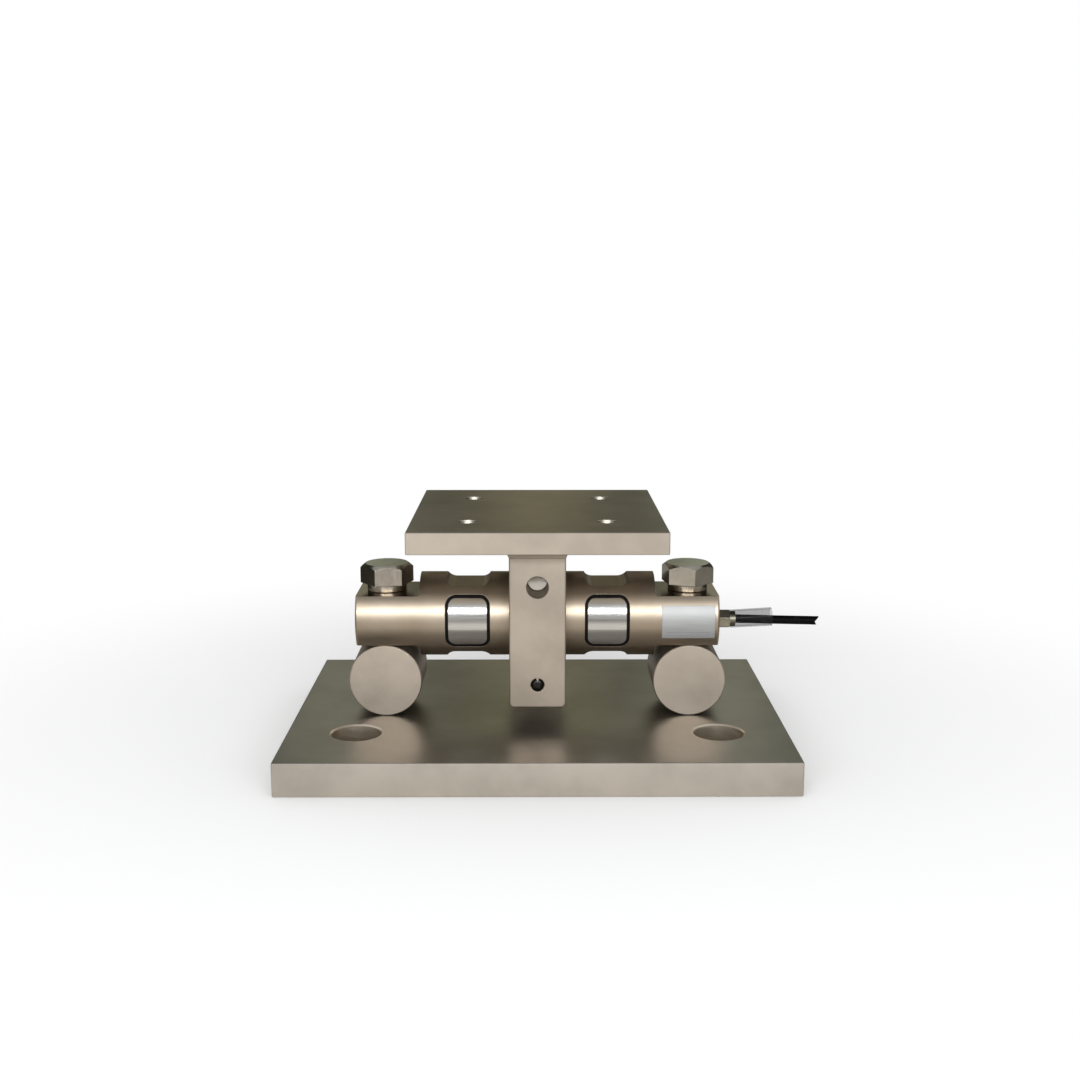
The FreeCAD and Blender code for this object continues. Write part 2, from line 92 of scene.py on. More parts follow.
class Finish:
    # a material and the one method that adds its nodes
    def __init__(self, name, tree=None):
        if tree is None:
            self.material = bpy.data.materials.new(name)
            self.material.use_nodes = True
            tree = self.material.node_tree
        self.tree = tree
        self.tree.nodes.clear()

    def node(self, kind, settings=None, sockets=None, out=0):
        made = self.tree.nodes.new(kind)
        for key, value in (settings or {}).items():
            if key == "stops":
                ramp = made.color_ramp.elements
                while len(ramp) < len(value):
                    ramp.new(0.5)
                for stop, (place, colour) in zip(ramp, value):
                    stop.position = place
                    stop.color = (*colour, 1)
            else:
                setattr(made, key, value)
        for key, value in (sockets or {}).items():
            if isinstance(value, Signal):
                self.tree.links.new(value.socket, made.inputs[key])
            else:
                made.inputs[key].default_value = value
        return Signal(self, made.outputs[out]) if made.outputs else None

    def place(self):
        return self.node("ShaderNodeTexCoord", out="Object")

    def axis(self, index):
        return self.node("ShaderNodeSeparateXYZ", {}, {0: self.place()}, out=index)

    def facing(self, index):
        normal = self.node("ShaderNodeNewGeometry", out="Normal")
        return self.node("ShaderNodeSeparateXYZ", {}, {0: normal}, out=index)

    def noise(self, scale, stretch=(1, 1, 1), detail=3.0, harsh=0.5):
        place = self.node("ShaderNodeMapping", {}, {"Vector": self.place(), "Scale": stretch})
        sockets = {"Vector": place, "Scale": scale, "Detail": detail, "Roughness": harsh}
        return self.node("ShaderNodeTexNoise", {}, sockets)

    def band(self, value, low, high):
        sockets = {"Value": value, "From Min": low, "From Max": high}
        return self.node("ShaderNodeMapRange", {"interpolation_type": "SMOOTHSTEP"}, sockets)

    def blend(self, factor, first, second):
        colours = [c if isinstance(c, Signal) else (*c, 1) for c in (first, second)]
        sockets = {0: factor, 6: colours[0], 7: colours[1]}  # sockets 6, 7 and output 2 are the colours
        return self.node("ShaderNodeMix", {"data_type": "RGBA"}, sockets, out=2)

    def clouded(self, pattern, dull, bright, low=0.3, high=0.7):
        return self.blend(self.band(pattern, low, high), dull, bright)

    def bump(self, height, depth, strength=1.0, under=None):
        sockets = {"Height": height, "Distance": depth, "Strength": strength}
        if under is not None:
            sockets["Normal"] = under
        return self.node("ShaderNodeBump", {}, sockets)

    def softEdge(self, radius):
        return self.node("ShaderNodeBevel", {"samples": 4}, {"Radius": radius})

    def ramp(self, stops, along):
        return self.node("ShaderNodeValToRGB", {"stops": stops}, {0: along})

    def surface(self, shader):
        self.node("ShaderNodeOutputMaterial", {}, {"Surface": shader})
        return self.material

    def principled(self, **sockets):
        names = {key.replace("_", " "): value for key, value in sockets.items()}
        for key, value in names.items():
            if key.endswith(("Color", "Tint")) and not isinstance(value, Signal):
                names[key] = (*value, 1)
        return self.surface(self.node("ShaderNodeBsdfPrincipled", {}, names))


# Satin nickel of the plates, rollers and yoke; the holes are (x, y, radius, side of holeLevel)
plateFinish = {
    "bright": (0.468, 0.412, 0.345),
    "dull": (0.388, 0.341, 0.286),
    "baseBright": (0.472, 0.44, 0.4),
    "baseDull": (0.398, 0.37, 0.334),
    "baseTop": 0.021,
    "grazing": (0.4, 0.4, 0.4),
    "sideRoughness": 0.44,
    "flatRoughness": 0.35,
    "flatFacing": (0.75, 0.97),
    "cloudScale": 26.0,
    "cloudShift": 0.04,
    "grainScale": 2600.0,
    "grainShift": 0.07,
    "grainDepth": 0.00004,
    "grainStrength": 0.35,
    "brushScale": 900.0,
    "brushStretch": (0.06, 1, 1),
    "wipeScale": 9.0,
    "wipeShift": 0.015,
    "edge": 0.00025,
    "holes": ((0.1085, 0.054, 0.0160, -1), (0.041, 0.044, 0.00615, 1)),
    "holeLevel": 0.08,
    "holeBlur": 0.0001,
    "bored": (0.74, 0.66, 0.55),
    "boredRoughness": 0.42,
    "cutScale": 1400.0,
    "cutStretch": (0.02, 0.02, 1),
    "cutDepth": 0.0002,
}


def boredWalls(f, settings):
    across = f.axis(0).size()
    along = f.axis(1).size()
    above = f.axis(2) - settings["holeLevel"]
    blur = settings["holeBlur"]
    mask = None
    for holeX, holeY, radius, side in settings["holes"]:
        sideways = across - holeX
        forward = along - holeY
        reach = (sideways * sideways + forward * forward) ** 0.5
        inside = (1 - f.band(reach, radius - blur, radius + blur)) * (above * side > 0)
        mask = inside if mask is None else mask.atLeast(inside)
    return mask


def makeNickelPlate(name, settings):
    f = Finish(name)
    bored = boredWalls(f, settings)
    cuts = f.noise(settings["cutScale"], settings["cutStretch"], detail=2.0)
    cloud = f.noise(settings["cloudScale"], detail=4.0, harsh=0.6)
    fine = f.noise(settings["grainScale"], detail=2.0)
    brush = f.noise(settings["brushScale"], settings["brushStretch"], detail=2.0)
    wipe = f.band(f.noise(settings["wipeScale"], detail=5.0, harsh=0.65), 0.35, 0.75)
    upper = f.clouded(cloud, settings["dull"], settings["bright"])
    base = f.clouded(cloud, settings["baseDull"], settings["baseBright"])
    colour = f.blend(f.axis(2) > settings["baseTop"], base, upper)
    colour = f.blend(bored, colour, settings["bored"])
    flat = f.band(f.facing(2).size(), *settings["flatFacing"])
    side = settings["sideRoughness"]
    rough = side + flat * (settings["flatRoughness"] - side)
    rough = rough + (cloud - 0.5) * settings["cloudShift"] + (fine - 0.5) * settings["grainShift"]
    rough = rough + wipe * settings["wipeShift"] + bored * (settings["boredRoughness"] - side)
    satin = (fine * 0.6 + brush * 0.4) * (1 - bored)
    edge = f.softEdge(settings["edge"])
    normal = f.bump(satin, settings["grainDepth"], settings["grainStrength"], edge)
    normal = f.bump(cuts * bored, settings["cutDepth"], 1.0, normal)
    return f.principled(
        Base_Color=colour, Metallic=1.0, Roughness=rough, Normal=normal, Specular_Tint=settings["grazing"]
    )


# Turned nickel of the beam, with smoother seats under the bolts
beamFinish = {
    "bright": (0.435, 0.371, 0.295),
    "dull": (0.385, 0.319, 0.245),
    "grazing": (0.4, 0.4, 0.4),
    "roughness": 0.39,
    "seatRoughness": 0.20,
    "seatLevel": 0.096,
    "seatBlur": (0.0003, 0.0006),
    "seatFacing": 0.9,
    "ringScale": 2400.0,
    "ringStretch": (1, 0.002, 0.002),
    "ringShift": 0.09,
    "stepScale": 260.0,
    "stepStretch": (1, 0.01, 0.01),
    "stepShift": 0.05,
    "cloudScale": 34.0,
    "cloudShift": 0.05,
    "turnDepth": 0.00003,
    "turnStrength": 0.4,
    "edge": 0.0003,
}


def makeBeamNickel(name, settings):
    f = Finish(name)
    rings = f.noise(settings["ringScale"], settings["ringStretch"], detail=3.0, harsh=0.7)
    steps = f.noise(settings["stepScale"], settings["stepStretch"], detail=2.0)
    cloud = f.noise(settings["cloudScale"], detail=4.0, harsh=0.6)
    colour = f.clouded(cloud, settings["dull"], settings["bright"])
    offSeat = f.band((f.axis(2) - settings["seatLevel"]).size(), *settings["seatBlur"])
    seat = (1 - offSeat) * (f.facing(2) > settings["seatFacing"])
    rough = settings["roughness"] + (rings - 0.5) * settings["ringShift"]
    rough = rough + (steps - 0.5) * settings["stepShift"] + (cloud - 0.5) * settings["cloudShift"]
    rough = rough + seat * (settings["seatRoughness"] - settings["roughness"])
    edge = f.softEdge(settings["edge"])
    normal = f.bump(rings * 0.7 + steps * 0.3, settings["turnDepth"], settings["turnStrength"], edge)
    return f.principled(
        Base_Color=colour, Metallic=1.0, Roughness=rough, Normal=normal, Specular_Tint=settings["grazing"]
    )


boltFinish = {
    "bright": (0.60, 0.56, 0.49),
    "dull": (0.50, 0.465, 0.40),
    "grazing": (0.45, 0.45, 0.45),
    "roughness": 0.22,
    "cloudScale": 70.0,
    "cloudShift": 0.06,
    "scuffScale": 420.0,
    "scuffStretch": (1, 1, 0.12),
    "scuffShift": 0.08,
    "grainScale": 3200.0,
    "grainDepth": 0.00003,
    "grainStrength": 0.3,
    "edge": 0.0004,
}
threadFinish = {
    **boltFinish,
    "bright": (0.46, 0.425, 0.365),
    "dull": (0.38, 0.35, 0.295),
    "roughness": 0.4,
    "edge": 0.0002,
}


def makeBoltSteel(name, settings):
    f = Finish(name)
    cloud = f.noise(settings["cloudScale"], detail=4.0, harsh=0.6)
    scuff = f.band(f.noise(settings["scuffScale"], settings["scuffStretch"], detail=3.0), 0.55, 0.8)
    fine = f.noise(settings["grainScale"], detail=2.0)
    colour = f.clouded(cloud, settings["dull"], settings["bright"])
    rough = settings["roughness"] + scuff * settings["scuffShift"] + (cloud - 0.5) * settings["cloudShift"]
    edge = f.softEdge(settings["edge"])
    normal = f.bump(fine * 0.5 + scuff * 0.5, settings["grainDepth"], settings["grainStrength"], edge)
    return f.principled(
        Base_Color=colour, Metallic=1.0, Roughness=rough, Normal=normal, Specular_Tint=settings["grazing"]
    )


# Ground load pin with pale sawn ends and a painted shade ring round the edge of each, standing in for the
# dark gap against the bore
pinFinish = {
    "middleZ": 0.10675,
    "endY": (0.0256, 0.0259),
    "bright": (0.62, 0.585, 0.53),
    "dull": (0.50, 0.465, 0.41),
    "sawnBright": (0.92, 0.88, 0.80),
    "sawnDull": (0.76, 0.72, 0.65),
    "rim": (0.0057, 0.0061),
    "rimPaintedShade": (0.05, 0.042, 0.033),
    "roughness": 0.24,
    "groundScale": 2200.0,
    "groundStretch": (1, 0.02, 1),
    "groundShift": 0.12,
    "sawnShift": 0.36,
    "ringScale": 1500.0,
    "ringDepth": 0.00004,
    "ringStrength": 0.4,
    "edge": 0.0003,
}


def makePinSteel(name, settings):
    f = Finish(name)
    ground = f.noise(settings["groundScale"], settings["groundStretch"], detail=2.0)
    rings = f.noise(settings["ringScale"], detail=3.0)
    sawn = f.band(f.axis(1).size(), *settings["endY"])
    sideways = f.axis(0)
    up = f.axis(2) - settings["middleZ"]
    # painted shade: a dark ring at the edge of each sawn end, where the pin meets the bore
    rim = sawn * f.band((sideways * sideways + up * up) ** 0.5, *settings["rim"])
    rough = settings["roughness"] + (ground - 0.5) * settings["groundShift"] + sawn * settings["sawnShift"]
    colour = f.clouded(rings, settings["dull"], settings["bright"])
    colour = f.blend(sawn, colour, f.blend(rings, settings["sawnDull"], settings["sawnBright"]))
    colour = f.blend(rim, colour, settings["rimPaintedShade"])
    edge = f.softEdge(settings["edge"])
    normal = f.bump(rings, settings["ringDepth"], settings["ringStrength"], edge)
    return f.principled(Base_Color=colour, Metallic=1 - sawn, Roughness=rough, Normal=normal)


coverFinish = {
    "bright": (0.62, 0.615, 0.605),
    "dull": (0.52, 0.515, 0.505),
    "roughness": 0.15,
    "brushScale": 2600.0,
    "brushStretch": (0.018, 1, 1),
    "brushShift": 0.16,
    "streakScale": 500.0,
    "streakStretch": (0.03, 1, 1),
    "streakShift": 0.06,
    "lineDepth": 0.00004,
    "lineStrength": 0.45,
    "edge": 0.0005,
}


def makeCoverSteel(name, settings):
    f = Finish(name)
    brush = f.noise(settings["brushScale"], settings["brushStretch"], detail=3.0, harsh=0.7)
    streak = f.noise(settings["streakScale"], settings["streakStretch"], detail=2.0)
    colour = f.clouded(brush, settings["dull"], settings["bright"], 0.25, 0.75)
    rough = settings["roughness"] + (brush - 0.5) * settings["brushShift"]
    rough = rough + (streak - 0.5) * settings["streakShift"]
    edge = f.softEdge(settings["edge"])
    normal = f.bump(brush * 0.7 + streak * 0.3, settings["lineDepth"], settings["lineStrength"], edge)
    return f.principled(Base_Color=colour, Metallic=1.0, Roughness=rough, Normal=normal)


glandFinish = {
    "bright": (0.48, 0.455, 0.355),
    "dull": (0.37, 0.35, 0.265),
    "roughness": 0.38,
    "cloudScale": 240.0,
    "latheScale": 3000.0,
    "latheStretch": (1, 0.02, 0.02),
    "latheShift": 0.12,
    "latheDepth": 0.00004,
    "latheStrength": 0.4,
    "edge": 0.00035,
}


def makeGlandMetal(name, settings):
    f = Finish(name)
    cloud = f.noise(settings["cloudScale"], detail=4.0)
    lathe = f.noise(settings["latheScale"], settings["latheStretch"], detail=2.0)
    colour = f.clouded(cloud, settings["dull"], settings["bright"])
    rough = settings["roughness"] + (lathe - 0.5) * settings["latheShift"]
    edge = f.softEdge(settings["edge"])
    normal = f.bump(lathe, settings["latheDepth"], settings["latheStrength"], edge)
    return f.principled(Base_Color=colour, Metallic=1.0, Roughness=rough, Normal=normal)


blackFinish = {
    "worn": (0.05, 0.048, 0.042),
    "black": (0.016, 0.016, 0.015),
    "metal": 0.85,
    "roughness": 0.34,
    "cloudScale": 300.0,
    "grainScale": 2600.0,
    "grainShift": 0.2,
    "grainDepth": 0.00004,
    "grainStrength": 0.5,
}


def makeBlackSteel(name, settings):
    f = Finish(name)
    cloud = f.noise(settings["cloudScale"], detail=4.0)
    fine = f.noise(settings["grainScale"], detail=2.0)
    colour = f.clouded(cloud, settings["black"], settings["worn"], 0.35, 0.75)
    rough = settings["roughness"] + (fine - 0.5) * settings["grainShift"]
    normal = f.bump(fine, settings["grainDepth"], settings["grainStrength"])
    return f.principled(Base_Color=colour, Metallic=settings["metal"], Roughness=rough, Normal=normal)


# Compounds, films and plastics
sealFinish = {
    "dark": (0.003, 0.003, 0.003),
    "pale": (0.009, 0.0085, 0.008),
    "roughness": 0.4,
    "swellScale": 220.0,
    "swellShift": 0.14,
    "pitScale": 1800.0,
    "pitShift": 0.2,
    "depth": 0.00025,
    "strength": 0.5,
    "edge": 0.0006,
    "gloss": 0.06,
}


def makeSealant(name, settings):
    f = Finish(name)
    swell = f.noise(settings["swellScale"], detail=3.0)
    pits = f.band(f.noise(settings["pitScale"], detail=1.0), 0.68, 0.8)
    colour = f.blend(swell, settings["dark"], settings["pale"])
    rough = settings["roughness"] + swell * settings["swellShift"] + pits * settings["pitShift"]
    edge = f.softEdge(settings["edge"])
    normal = f.bump(swell - pits * 0.4, settings["depth"], settings["strength"], edge)
    return f.principled(
        Base_Color=colour, Roughness=rough, Normal=normal, Specular_IOR_Level=settings["gloss"]
    )


gaugeFinish = {
    "film": (0.42, 0.2, 0.05),
    "foil": (0.36, 0.31, 0.25),
    "lineScale": 9000.0,
    "filmRoughness": 0.4,
    "foilShift": 0.12,
    "foilMetal": 0.8,
    "foilDepth": 0.00002,
    "foilStrength": 0.4,
}


def makeGaugeFilm(name, settings):
    f = Finish(name)
    foil = f.band((f.axis(2) * settings["lineScale"]).wave(), -0.1, 0.1)
    colour = f.blend(foil, settings["film"], settings["foil"])
    metal = foil * settings["foilMetal"]
    rough = settings["filmRoughness"] - foil * settings["foilShift"]
    normal = f.bump(foil, settings["foilDepth"], settings["foilStrength"])
    return f.principled(Base_Color=colour, Metallic=metal, Roughness=rough, Normal=normal)


boardFinish = {
    "dark": (0.012, 0.07, 0.03),
    "pale": (0.02, 0.11, 0.05),
    "track": (0.05, 0.2, 0.08),
    "trackScale": (3500.0, 2600.0),
    "weaveScale": 1600.0,
    "roughness": 0.3,
    "weaveShift": 0.15,
    "trackDepth": 0.00003,
    "trackStrength": 0.5,
}


def makeBoard(name, settings):
    f = Finish(name)
    weave = f.noise(settings["weaveScale"], detail=2.0)
    scaleX, scaleY = settings["trackScale"]
    tracks = f.band((f.axis(0) * scaleX).wave() * (f.axis(1) * scaleY).wave(), 0.25, 0.4)
    colour = f.blend(tracks, f.blend(weave, settings["dark"], settings["pale"]), settings["track"])
    rough = settings["roughness"] + weave * settings["weaveShift"]
    normal = f.bump(tracks, settings["trackDepth"], settings["trackStrength"])
    return f.principled(Base_Color=colour, Roughness=rough, Normal=normal)


wireFinish = {
    "dark": (0.09, 0.09, 0.095),
    "pale": (0.2, 0.2, 0.205),
    "layScale": (1500.0, 2400.0),
    "roughness": 0.42,
    "strandShift": 0.1,
    "layDepth": 0.0002,
    "layStrength": 0.5,
}


def makeWire(name, settings):
    f = Finish(name)
    scaleX, scaleZ = settings["layScale"]
    lay = (f.axis(0) * scaleX + f.axis(2) * scaleZ).wave()
    strand = f.band(lay, -0.3, 0.3)
    colour = f.blend(strand, settings["dark"], settings["pale"])
    rough = settings["roughness"] + strand * settings["strandShift"]
    normal = f.bump(lay, settings["layDepth"], settings["layStrength"])
    return f.principled(Base_Color=colour, Roughness=rough, Normal=normal)


# Thin smoky film that thickens where the tube's wall is seen edge on
tubeFinish = {
    "dark": (0.012, 0.012, 0.013),
    "pale": (0.03, 0.03, 0.032),
    "roughness": 0.2,
    "hazeScale": 180.0,
    "hazeStretch": (0.4, 1, 1),
    "hazeShift": 0.1,
    "film": 0.165,
    "filmHaze": 0.06,
    "filmEdge": 0.6,
    "edgePower": 4,
    "depth": 0.0001,
    "strength": 0.15,
    "gloss": 0.2,
}


def makeClearTube(name, settings):
    f = Finish(name)
    haze = f.noise(settings["hazeScale"], settings["hazeStretch"], detail=3.0)
    rough = settings["roughness"] + haze * settings["hazeShift"]
    colour = f.blend(haze, settings["dark"], settings["pale"])
    slant = f.node("ShaderNodeLayerWeight", {}, {"Blend": 0.5}, out="Facing")
    film = settings["film"] + haze * settings["filmHaze"]
    film = film + slant ** settings["edgePower"] * settings["filmEdge"]
    normal = f.bump(haze, settings["depth"], settings["strength"])
    return f.principled(
        Base_Color=colour, Roughness=rough, Alpha=film, Normal=normal, Specular_IOR_Level=settings["gloss"]
    )


jacketFinish = {
    "black": (0.002, 0.002, 0.0022),
    "scuffed": (0.008, 0.008, 0.0085),
    "roughness": 0.5,
    "skinScale": 2400.0,
    "dragScale": 700.0,
    "dragStretch": (0.05, 1, 1),
    "dragShift": 0.14,
    "scuffScale": 160.0,
    "scuffShift": 0.08,
    "depth": 0.00005,
    "strength": 0.5,
    "gloss": 0.05,
}


def makeJacket(name, settings):
    f = Finish(name)
    skin = f.noise(settings["skinScale"], detail=2.0)
    drag = f.noise(settings["dragScale"], settings["dragStretch"], detail=3.0)
    scuff = f.band(f.noise(settings["scuffScale"], detail=4.0), 0.55, 0.8)
    colour = f.blend(scuff, settings["black"], settings["scuffed"])
    rough = settings["roughness"] + (drag - 0.5) * settings["dragShift"] + scuff * settings["scuffShift"]
    normal = f.bump(skin * 0.5 + drag * 0.5, settings["depth"], settings["strength"])
    return f.principled(
        Base_Color=colour, Roughness=rough, Normal=normal, Specular_IOR_Level=settings["gloss"]
    )


# Bare foil plate with two plain rules near its lower edge
labelFinish = {
    "foil": (0.406, 0.412, 0.408),
    "shade": (0.35, 0.355, 0.354),
    "rule": (0.22, 0.23, 0.24),
    "middleX": 0.09245,
    "middleZ": 0.0805,
    "ruleRows": (-0.0062, -0.0082),
    "ruleHalf": 0.00028,
    "ruleReach": 0.0132,
    "ruleBlur": 0.00012,
    "reachBlur": 0.0002,
    "roughness": 0.5,
    "metal": 0.65,
    "brushScale": 1900.0,
    "brushStretch": (0.03, 1, 1),
    "brushShift": 0.14,
    "inkShift": 0.1,
    "inkMetal": 0.55,
    "cloudScale": 60.0,
    "brushDepth": 0.00002,
    "brushStrength": 0.3,
    "edge": 0.0004,
}


def makeLabelFoil(name, settings):
    f = Finish(name)
    brush = f.noise(settings["brushScale"], settings["brushStretch"], detail=2.0)
    cloud = f.noise(settings["cloudScale"], detail=3.0)
    across = (f.axis(0) - settings["middleX"]).size()
    up = f.axis(2) - settings["middleZ"]
    reach = settings["ruleReach"]
    half = settings["ruleHalf"]
    ink = None
    for row in settings["ruleRows"]:
        line = 1 - f.band((up - row).size(), half, half + settings["ruleBlur"])
        ink = line if ink is None else ink.atLeast(line)
    ink = ink * (1 - f.band(across, reach, reach + settings["reachBlur"]))
    foil = f.clouded(brush * 0.6 + cloud * 0.4, settings["shade"], settings["foil"])
    colour = f.blend(ink, foil, settings["rule"])
    rough = settings["roughness"] + (brush - 0.5) * settings["brushShift"] + ink * settings["inkShift"]
    metal = settings["metal"] - ink * settings["inkMetal"]
    edge = f.softEdge(settings["edge"])
    normal = f.bump(brush, settings["brushDepth"], settings["brushStrength"], edge)
    return f.principled(Base_Color=colour, Metallic=metal, Roughness=rough, Normal=normal)


# Cores in the cable's cut end
copperFinish = {
    "bright": (0.8, 0.42, 0.26),
    "dull": (0.45, 0.2, 0.1),
    "strandScale": (9000.0, 7000.0),
    "roughness": 0.3,
    "strandShift": 0.05,
    "strandDepth": 0.00005,
}
sheathFinish = {
    "dark": (0.33, 0.33, 0.33),
    "pale": (0.47, 0.46, 0.44),
    "toneScale": 900.0,
    "roughness": 0.36,
    "toneShift": 0.1,
    "toneDepth": 0.00004,
}


def makeCopper(name, settings):
    f = Finish(name)
    scaleY, scaleZ = settings["strandScale"]
    strand = (f.axis(1) * scaleY + f.axis(2) * scaleZ).wave()
    colour = f.clouded(strand, settings["dull"], settings["bright"], -0.4, 0.4)
    rough = settings["roughness"] + strand * settings["strandShift"]
    normal = f.bump(strand, settings["strandDepth"])
    return f.principled(Base_Color=colour, Metallic=1.0, Roughness=rough, Normal=normal)


def makeCoreSheath(name, settings):
    f = Finish(name)
    tone = f.noise(settings["toneScale"], detail=2.0)
    colour = f.blend(tone, settings["dark"], settings["pale"])
    rough = settings["roughness"] + tone * settings["toneShift"]
    return f.principled(Base_Color=colour, Roughness=rough, Normal=f.bump(tone, settings["toneDepth"]))


finishes = {
    "nickel_plate": makeNickelPlate("nickelPlate", plateFinish),
    "beam_nickel": makeBeamNickel("beamNickel", beamFinish),
    "bolt_steel": makeBoltSteel("boltSteel", boltFinish),
    "pin_steel": makePinSteel("pinSteel", pinFinish),
    "cover_steel": makeCoverSteel("coverSteel", coverFinish),
    "gland_metal": makeGlandMetal("glandMetal", glandFinish),
    "black_steel": makeBlackSteel("blackSteel", blackFinish),
    "sealant": makeSealant("sealant", sealFinish),
    "gauge_film": makeGaugeFilm("gaugeFilm", gaugeFinish),
    "board": makeBoard("boardLacquer", boardFinish),
    "wire": makeWire("wireBundle", wireFinish),
    "clear_tube": makeClearTube("clearTube", tubeFinish),
    "cable_jacket": makeJacket("cableJacket", jacketFinish),
    "label_foil": makeLabelFoil("labelFoil", labelFinish),
}
copper = makeCopper("copperStrand", copperFinish)
threadSteel = makeBoltSteel("threadSteel", threadFinish)
coreSheath = makeCoreSheath("coreSheath", sheathFinish)
for part in frame["record"]["subparts"]:
    mesh = nodes[part["node"]].data
    mesh.materials.clear()
    mesh.materials.append(finishes[part["material_slot"]])
print("finishes laid on:", len(finishes))


def linkPiece(name, mesh, body):
    piece = bpy.data.objects.new(name, mesh)
    bpy.context.scene.collection.objects.link(piece)
    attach(piece, body)
    return piece


class NodeTree:
    # a Geometry Nodes tree with named inputs, baked to a plain mesh
    socketKinds = {int: "NodeSocketInt", float: "NodeSocketFloat", tuple: "NodeSocketVector"}

    def __init__(self, name, inputs):
        self.tree = bpy.data.node_groups.new(name, "GeometryNodeTree")
        self.values = {}
        for label, value in inputs.items():
            kind = self.socketKinds[type(value)]
            socket = self.tree.interface.new_socket(label, in_out="INPUT", socket_type=kind)
            self.values[socket.identifier] = value
        self.tree.interface.new_socket("Geometry", in_out="OUTPUT", socket_type="NodeSocketGeometry")
        self.source = self.tree.nodes.new("NodeGroupInput")

    def given(self, label):
        return self.source.outputs[label]

    def node(self, kind, settings=None, sockets=None, out=0):
        made = self.tree.nodes.new(kind)
        for key, value in (settings or {}).items():
            setattr(made, key, value)
        for key, value in (sockets or {}).items():
            if isinstance(value, bpy.types.NodeSocket):
                self.tree.links.new(value, made.inputs[key])
            else:
                made.inputs[key].default_value = value
        return made.outputs[out]

    def maths(self, operation, first, second):
        return self.node("ShaderNodeMath", {"operation": operation}, {0: first, 1: second})

    def raised(self, geometry, height):
        shift = self.node("ShaderNodeCombineXYZ", {}, {2: height})
        return self.node("GeometryNodeTransform", {}, {"Geometry": geometry, "Translation": shift})

    def joined(self, pieces):
        both = self.node("GeometryNodeJoinGeometry")
        for piece in pieces:
            self.tree.links.new(piece, both.node.inputs[0])
        return both

    def finished(self, instances, material):
        solid = self.node("GeometryNodeRealizeInstances", {}, {"Geometry": instances})
        return self.node("GeometryNodeSetMaterial", {}, {"Geometry": solid, "Material": material})

    def bake(self, name, geometry):
        end = self.tree.nodes.new("NodeGroupOutput")
        self.tree.links.new(geometry, end.inputs[0])
        holder = bpy.data.objects.new(name + "Holder", bpy.data.meshes.new(name + "Seed"))
        bpy.context.scene.collection.objects.link(holder)
        modifier = holder.modifiers.new("nodes", "NODES")
        modifier.node_group = self.tree
        for identifier, value in self.values.items():
            modifier[identifier] = value
        shown = holder.evaluated_get(bpy.context.evaluated_depsgraph_get())
        mesh = bpy.data.meshes.new_from_object(shown)
        mesh.name = name
        holder.modifiers.clear()
        bpy.data.objects.remove(holder)
        return mesh


# Thread turns and lead-in tapers in the four tapped holes of the top plate
threadSettings = {
    "spacingX": 0.082,
    "spacingY": 0.088,
    "holeRadius": 0.00605,
    "crest": 0.00062,
    "pitch": 0.00175,
    "bottom": 0.1351,
    "turns": 4.6,
    "turnSteps": 40,
    "ridgeSides": 8,
    "taperFoot": 0.1439,
    "taperHeight": 0.0025,
    "taperReach": 0.0007,
    "taperSides": 64,
}


def makeThreads(settings):
    t = NodeTree("tappedThreads", settings)
    helix = t.node(
        "GeometryNodeCurveSpiral",
        {},
        {
            "Resolution": t.given("turnSteps"),
            "Rotations": t.given("turns"),
            "Start Radius": t.given("holeRadius"),
            "End Radius": t.given("holeRadius"),
            "Height": t.maths("MULTIPLY", t.given("pitch"), t.given("turns")),
        },
    )
    ridge = t.node(
        "GeometryNodeCurvePrimitiveCircle",
        {},
        {"Resolution": t.given("ridgeSides"), "Radius": t.given("crest")},
    )
    turns = t.node(
        "GeometryNodeCurveToMesh", {}, {"Curve": helix, "Profile Curve": ridge, "Fill Caps": True}
    )
    taper = t.node(
        "GeometryNodeMeshCone",
        {"fill_type": "NONE"},
        {
            "Vertices": t.given("taperSides"),
            "Radius Top": t.given("holeRadius"),
            "Radius Bottom": t.maths("SUBTRACT", t.given("holeRadius"), t.given("taperReach")),
            "Depth": t.given("taperHeight"),
        },
    )
    taper = t.node("GeometryNodeFlipFaces", {}, {"Mesh": taper})
    hole = t.joined((t.raised(turns, t.given("bottom")), t.raised(taper, t.given("taperFoot"))))
    corners = t.node(
        "GeometryNodeMeshGrid",
        {},
        {"Size X": t.given("spacingX"), "Size Y": t.given("spacingY"), "Vertices X": 2, "Vertices Y": 2},
    )
    placed = t.node("GeometryNodeInstanceOnPoints", {}, {"Points": corners, "Instance": hole})
    return t.bake("tapped_threads", t.finished(placed, threadSteel))


threads = linkPiece("tapped_threads", makeThreads(threadSettings), "rocking_top")
print("tapped threads:", len(threads.data.polygons), "faces")


# Cable: its jacket follows the route, and its cut end is notched
cableSettings = {
    "route": (
        (0.1080, -0.0155, 0.08050),
        (0.1235, -0.0155, 0.08050),
        (0.1405, -0.0155, 0.07995),
        (0.1575, -0.0155, 0.07955),
        (0.1740, -0.0155, 0.07925),
    ),
    "routeSteps": 10,
    "exit": (0.1220, -0.0155, 0.08050),
    "diameter": 0.0053,
    "length": 0.066,
    "wall": 0.0007,
    "sides": 36,
    "notchMiddle": 0.1712,
    "notchCollar": 0.001,
    "routeGap": 0.0002,
    "upperTip": 0.0027,
    "lowerTip": 0.0013,
    "hollow": 0.0022,
    "creaseAngle": 40,
}


